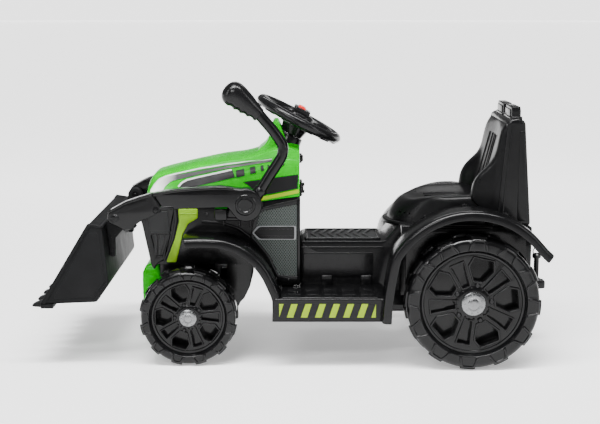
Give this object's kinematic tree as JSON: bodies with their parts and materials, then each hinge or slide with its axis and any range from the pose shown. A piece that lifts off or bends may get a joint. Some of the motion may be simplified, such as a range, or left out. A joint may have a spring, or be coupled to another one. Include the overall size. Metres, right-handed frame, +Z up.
{
  "type": "toy front loader",
  "caption": "Ride-on toy front loader: a small battery tractor with seat, steering wheel and a hand lever that lifts its bucket.",
  "frame": {"origin": "middle of the footprint, on the floor under the wheels", "axes": "+X forward towards the bucket, +Y to the vehicle's left, +Z up"},
  "size_m": [0.935, 0.38, 0.5031],
  "materials": {
    "black_plastic": "glossy moulded black plastic",
    "green_plastic": "glossy bright green plastic",
    "grey_plastic": "satin dark grey plastic",
    "mesh_plastic": "dark grey-green plastic with a fine diamond texture",
    "wheel_plastic": "black blow-moulded plastic",
    "cap_chrome": "silver plated",
    "steel": "zinc-plated steel",
    "red_plastic": "glossy red plastic",
    "white_plastic": "natural white nylon",
    "battery_case": "dark grey battery case"
  },
  "bodies": {
    "chassis": {"battery": "battery_case", "column_boss": "black_plastic", "floor_cover": "black_plastic", "front_beam": "black_plastic", "front_body": "black_plastic", "front_bumper": "green_plastic", "gearbox": "white_plastic", "hitch_block": "black_plastic", "hood": "green_plastic", "mesh_panel_left": "mesh_plastic", "mesh_panel_right": "mesh_plastic", "motor": "steel", "nose_grille": "grey_plastic", "pivot_bracket_left": "black_plastic", "pivot_bracket_right": "black_plastic", "power_bezel": "black_plastic", "rear_axle": "steel", "rear_body": "black_plastic", "seat_back": "black_plastic", "seat_pan": "black_plastic", "seat_shell": "black_plastic", "side_moulding_left": "black_plastic", "side_moulding_right": "black_plastic", "side_strip_left": "green_plastic", "side_strip_right": "green_plastic", "switch_bezel": "black_plastic", "tread_pad": "grey_plastic"},
    "steering": {"steering_wheel": "black_plastic", "steering_shaft": "steel"},
    "horn_left": {"horn_button_left": "red_plastic"},
    "horn_right": {"horn_button_right": "red_plastic"},
    "knuckle_left": {"knuckle_left": "steel"},
    "knuckle_right": {"knuckle_right": "steel"},
    "tie_rod": {"tie_rod": "steel"},
    "wheel_front_left": {"front_wheel_left": "wheel_plastic", "front_cap_left": "cap_chrome"},
    "wheel_front_right": {"front_wheel_right": "wheel_plastic", "front_cap_right": "cap_chrome"},
    "wheel_rear_left": {"rear_wheel_left": "wheel_plastic", "rear_cap_left": "cap_chrome"},
    "wheel_rear_right": {"rear_wheel_right": "wheel_plastic", "rear_cap_right": "cap_chrome"},
    "loader": {"arm_left": "black_plastic", "arm_right": "black_plastic", "arm_tip_left": "black_plastic", "arm_tip_right": "black_plastic", "bucket_bolt_left": "steel", "bucket_bolt_right": "steel", "pivot_shaft": "steel", "lever_tube": "black_plastic", "lever_grip": "black_plastic"},
    "bucket": {"bucket": "grey_plastic", "bucket_teeth": "grey_plastic", "bucket_bracket_left": "grey_plastic", "bucket_bracket_right": "grey_plastic"},
    "power_button": {"power_button": "black_plastic"},
    "direction_rocker": {"direction_rocker": "black_plastic"},
    "pedal": {"pedal": "grey_plastic"},
    "hitch_pin": {"hitch_pin": "black_plastic"}
  },
  "joints": [
    {"name": "steer", "type": "hinge", "parent": "chassis", "child": "steering", "pos_m": [-0.0045, 0, 0.427], "axis": [-0.4679, 0, 0.8838], "range_deg": [-40, 40]},
    {"name": "horn_left_press", "type": "slide", "parent": "steering", "child": "horn_left", "axis": [0.4679, 0, -0.8838], "range_m": [0, 0.002], "stiffness_N_per_m": 300, "springref_m": -0.002},
    {"name": "horn_right_press", "type": "slide", "parent": "steering", "child": "horn_right", "axis": [0.4679, 0, -0.8838], "range_m": [0, 0.002], "stiffness_N_per_m": 300, "springref_m": -0.002},
    {"name": "kingpin_left", "type": "hinge", "parent": "chassis", "child": "knuckle_left", "pos_m": [0.1915, 0.08, 0.0875], "axis": [0, 0, 1], "range_deg": [-22, 22]},
    {"name": "kingpin_right", "type": "hinge", "parent": "chassis", "child": "knuckle_right", "pos_m": [0.1915, -0.08, 0.0875], "axis": [0, 0, 1], "range_deg": [-22, 22]},
    {"name": "tie_rod_pivot", "type": "hinge", "parent": "knuckle_left", "child": "tie_rod", "pos_m": [0.1465, 0.08, 0.149], "axis": [0, 0, 1], "range_deg": [-22, 22]},
    {"name": "front_left_spin", "type": "hinge", "parent": "knuckle_left", "child": "wheel_front_left", "pos_m": [0.1915, 0.128, 0.0875], "axis": [0, 1, 0], "continuous": true},
    {"name": "front_right_spin", "type": "hinge", "parent": "knuckle_right", "child": "wheel_front_right", "pos_m": [0.1915, -0.128, 0.0875], "axis": [0, 1, 0], "continuous": true},
    {"name": "rear_left_spin", "type": "hinge", "parent": "chassis", "child": "wheel_rear_left", "pos_m": [-0.3085, 0.155, 0.12], "axis": [0, 1, 0], "continuous": true},
    {"name": "rear_right_spin", "type": "hinge", "parent": "chassis", "child": "wheel_rear_right", "pos_m": [-0.3085, -0.155, 0.12], "axis": [0, 1, 0], "continuous": true},
    {"name": "loader_lift", "type": "hinge", "parent": "chassis", "child": "loader", "pos_m": [0.0885, 0, 0.29], "axis": [0, -1, 0], "range_deg": [0, 40]},
    {"name": "bucket_tilt", "type": "hinge", "parent": "loader", "child": "bucket", "pos_m": [0.3165, 0, 0.267], "axis": [0, 1, 0], "range_deg": [-25, 20]},
    {"name": "power_press", "type": "slide", "parent": "chassis", "child": "power_button", "axis": [1, 0, 0], "range_m": [0, 0.0015], "stiffness_N_per_m": 300, "springref_m": -0.002},
    {"name": "direction_rock", "type": "hinge", "parent": "chassis", "child": "direction_rocker", "pos_m": [-0.0073, 0.035, 0.303], "axis": [0, 1, 0], "range_deg": [-8, 8]},
    {"name": "pedal_press", "type": "hinge", "parent": "chassis", "child": "pedal", "pos_m": [-0.0405, -0.122, 0.134], "axis": [0, 1, 0], "range_deg": [0, 12], "stiffness_Nm_per_rad": 1, "springref_deg": -3.44},
    {"name": "hitch_pin_lift", "type": "slide", "parent": "chassis", "child": "hitch_pin", "axis": [0, 0, 1], "range_m": [0, 0.03]}
  ],
  "couplings": [
    {"joint": "kingpin_left", "follows": "steer", "ratio": 0.55},
    {"joint": "kingpin_right", "follows": "steer", "ratio": 0.55},
    {"joint": "tie_rod_pivot", "follows": "steer", "ratio": -0.55}
  ]
}
